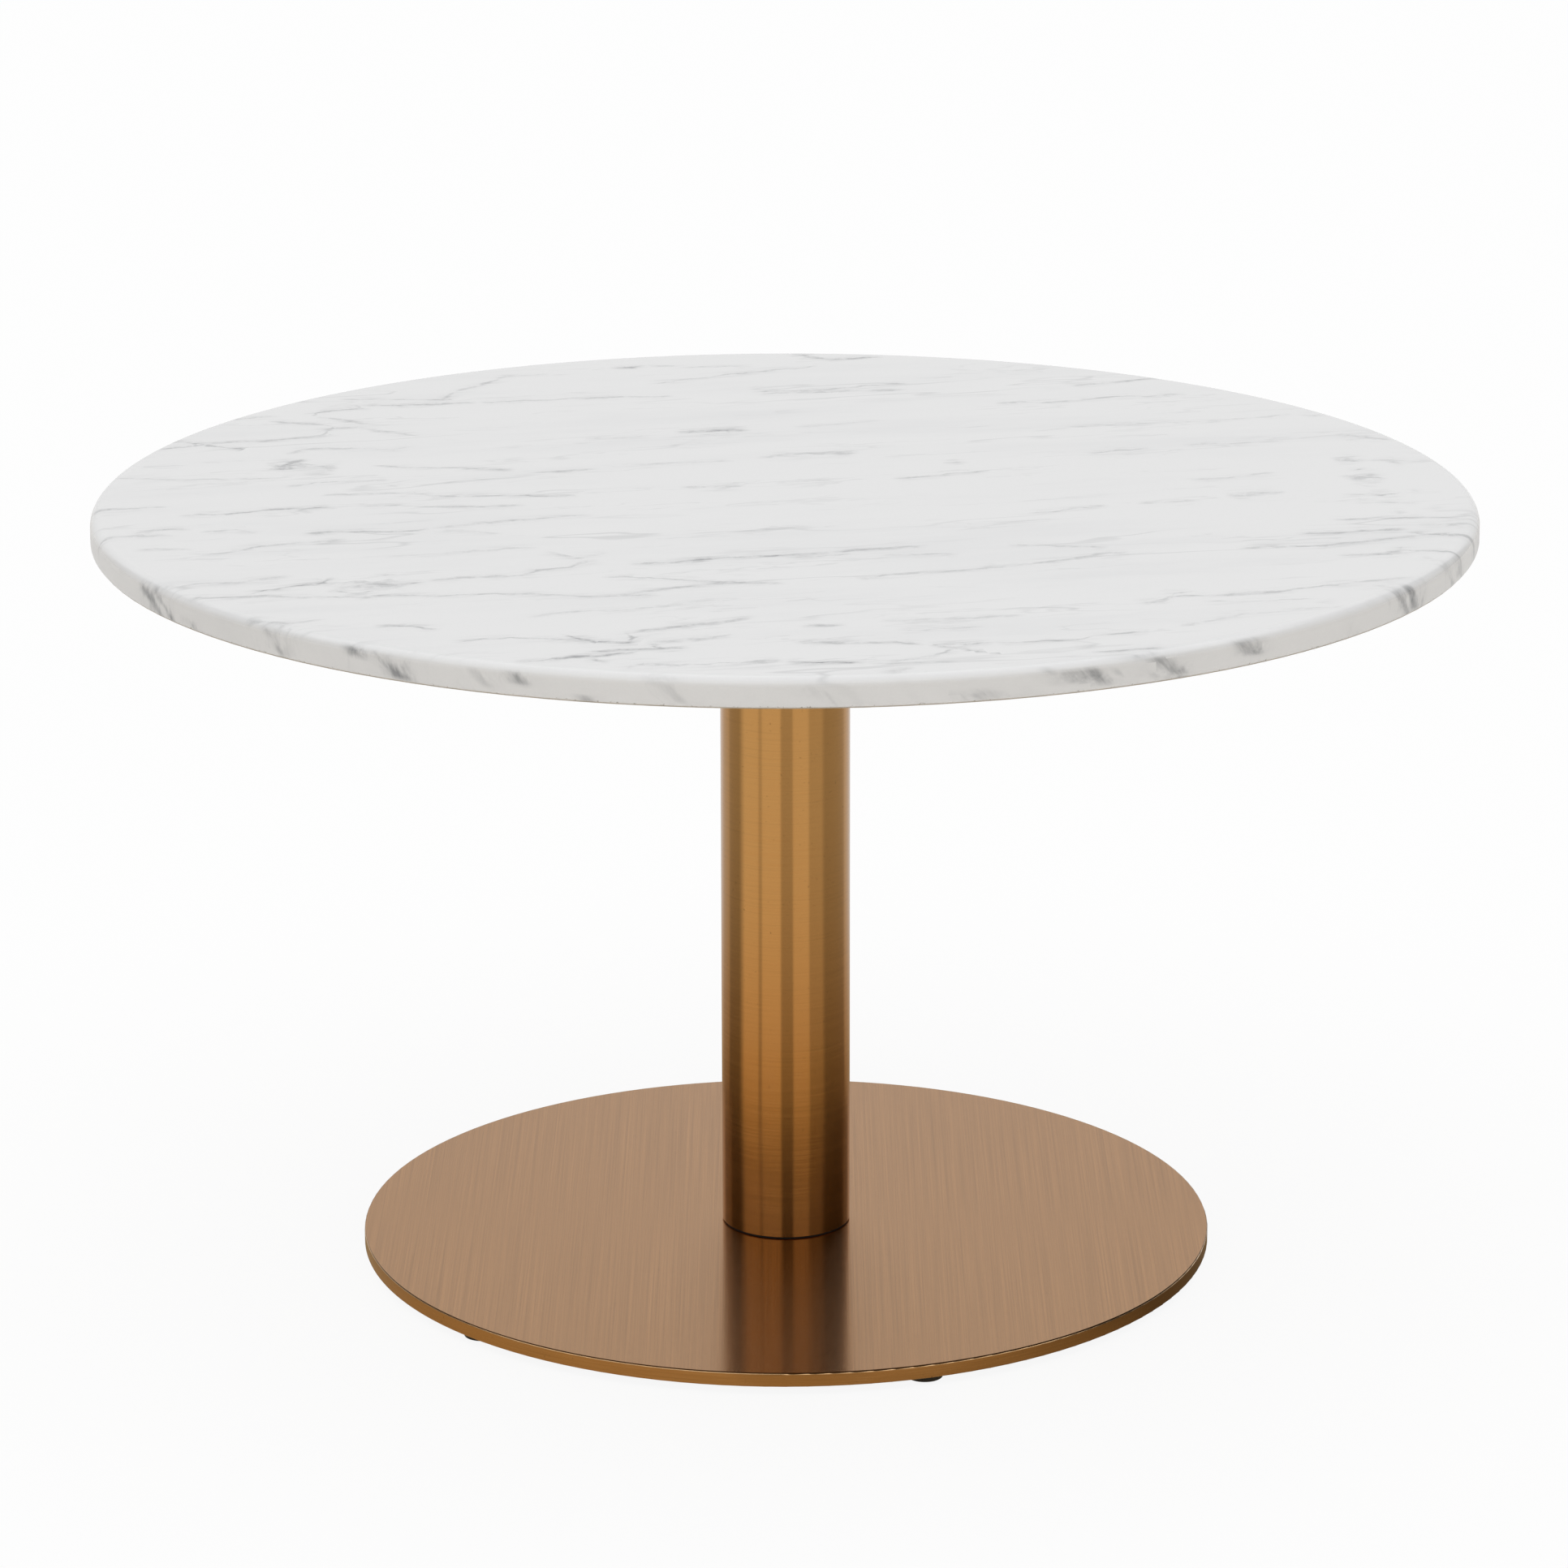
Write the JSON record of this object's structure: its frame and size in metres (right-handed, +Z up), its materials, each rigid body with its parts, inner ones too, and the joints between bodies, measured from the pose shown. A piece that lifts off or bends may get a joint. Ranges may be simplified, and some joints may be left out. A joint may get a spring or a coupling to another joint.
{
  "type": "round cocktail table",
  "caption": "Round pedestal table: a polished marble slab on a brushed bronze column and flat disc base with screw-in levelling glides.",
  "frame": {"origin": "on the floor, under the middle of the column", "axes": "+Z up along the column; -Y towards the front of the picture's view, +X to its right"},
  "size_m": [0.8, 0.8, 0.4563],
  "materials": {
    "marble": "polished",
    "backing_film": "matte",
    "brass_inserts": "satin",
    "black_steel": "matte",
    "zinc_steel": "satin",
    "weld_steel": "satin",
    "column_bronze": "satin",
    "cover_bronze": "satin",
    "rim_bronze": "satin",
    "gasket_rubber": "matte",
    "glide_plastic": "satin"
  },
  "bodies": {
    "table": {"marble_top": "marble", "slab_backing": "backing_film", "top_inserts": "brass_inserts", "top_plate": "black_steel", "top_screw_washers": "zinc_steel", "top_screws": "zinc_steel", "top_flange_screws": "zinc_steel", "column_top_flange": "weld_steel", "column_tube": "column_bronze", "column_foot_flange": "weld_steel", "column_gasket": "gasket_rubber", "base_cover": "cover_bronze", "base_rim_band": "rim_bronze", "base_plate": "black_steel", "base_screws": "zinc_steel"},
    "glide_1_screw": {"glide_1_stud": "zinc_steel"},
    "glide_1_foot": {"glide_1_pad": "glide_plastic"},
    "glide_2_screw": {"glide_2_stud": "zinc_steel"},
    "glide_2_foot": {"glide_2_pad": "glide_plastic"},
    "glide_3_screw": {"glide_3_stud": "zinc_steel"},
    "glide_3_foot": {"glide_3_pad": "glide_plastic"},
    "glide_4_screw": {"glide_4_stud": "zinc_steel"},
    "glide_4_foot": {"glide_4_pad": "glide_plastic"},
    "glide_5_screw": {"glide_5_stud": "zinc_steel"},
    "glide_5_foot": {"glide_5_pad": "glide_plastic"}
  },
  "joints": [
    {"name": "glide_1_lift", "type": "slide", "parent": "table", "child": "glide_1_screw", "axis": [0, 0, -1], "range_m": [0, 0.004]},
    {"name": "glide_1_turn", "type": "hinge", "parent": "glide_1_screw", "child": "glide_1_foot", "pos_m": [0.0779, -0.22245, 0], "axis": [0, 0, -1], "range_deg": [0, 1152]},
    {"name": "glide_2_lift", "type": "slide", "parent": "table", "child": "glide_2_screw", "axis": [0, 0, -1], "range_m": [0, 0.004]},
    {"name": "glide_2_turn", "type": "hinge", "parent": "glide_2_screw", "child": "glide_2_foot", "pos_m": [0.23547, 0.01038, 0], "axis": [0, 0, -1], "range_deg": [0, 1152]},
    {"name": "glide_3_lift", "type": "slide", "parent": "table", "child": "glide_3_screw", "axis": [0, 0, -1], "range_m": [0, 0.004]},
    {"name": "glide_3_turn", "type": "hinge", "parent": "glide_3_screw", "child": "glide_3_foot", "pos_m": [0.05802, 0.22845, 0], "axis": [0, 0, -1], "range_deg": [0, 1152]},
    {"name": "glide_4_lift", "type": "slide", "parent": "table", "child": "glide_4_screw", "axis": [0, 0, -1], "range_m": [0, 0.004]},
    {"name": "glide_4_turn", "type": "hinge", "parent": "glide_4_screw", "child": "glide_4_foot", "pos_m": [-0.20198, 0.12148, 0], "axis": [0, 0, -1], "range_deg": [0, 1152]},
    {"name": "glide_5_lift", "type": "slide", "parent": "table", "child": "glide_5_screw", "axis": [0, 0, -1], "range_m": [0, 0.004]},
    {"name": "glide_5_turn", "type": "hinge", "parent": "glide_5_screw", "child": "glide_5_foot", "pos_m": [-0.17461, -0.15832, 0], "axis": [0, 0, -1], "range_deg": [0, 1152]}
  ],
  "couplings": [
    {"joint": "glide_1_lift", "follows": "glide_1_turn", "m_per_rad": 0.00019894},
    {"joint": "glide_2_lift", "follows": "glide_2_turn", "m_per_rad": 0.00019894},
    {"joint": "glide_3_lift", "follows": "glide_3_turn", "m_per_rad": 0.00019894},
    {"joint": "glide_4_lift", "follows": "glide_4_turn", "m_per_rad": 0.00019894},
    {"joint": "glide_5_lift", "follows": "glide_5_turn", "m_per_rad": 0.00019894}
  ]
}
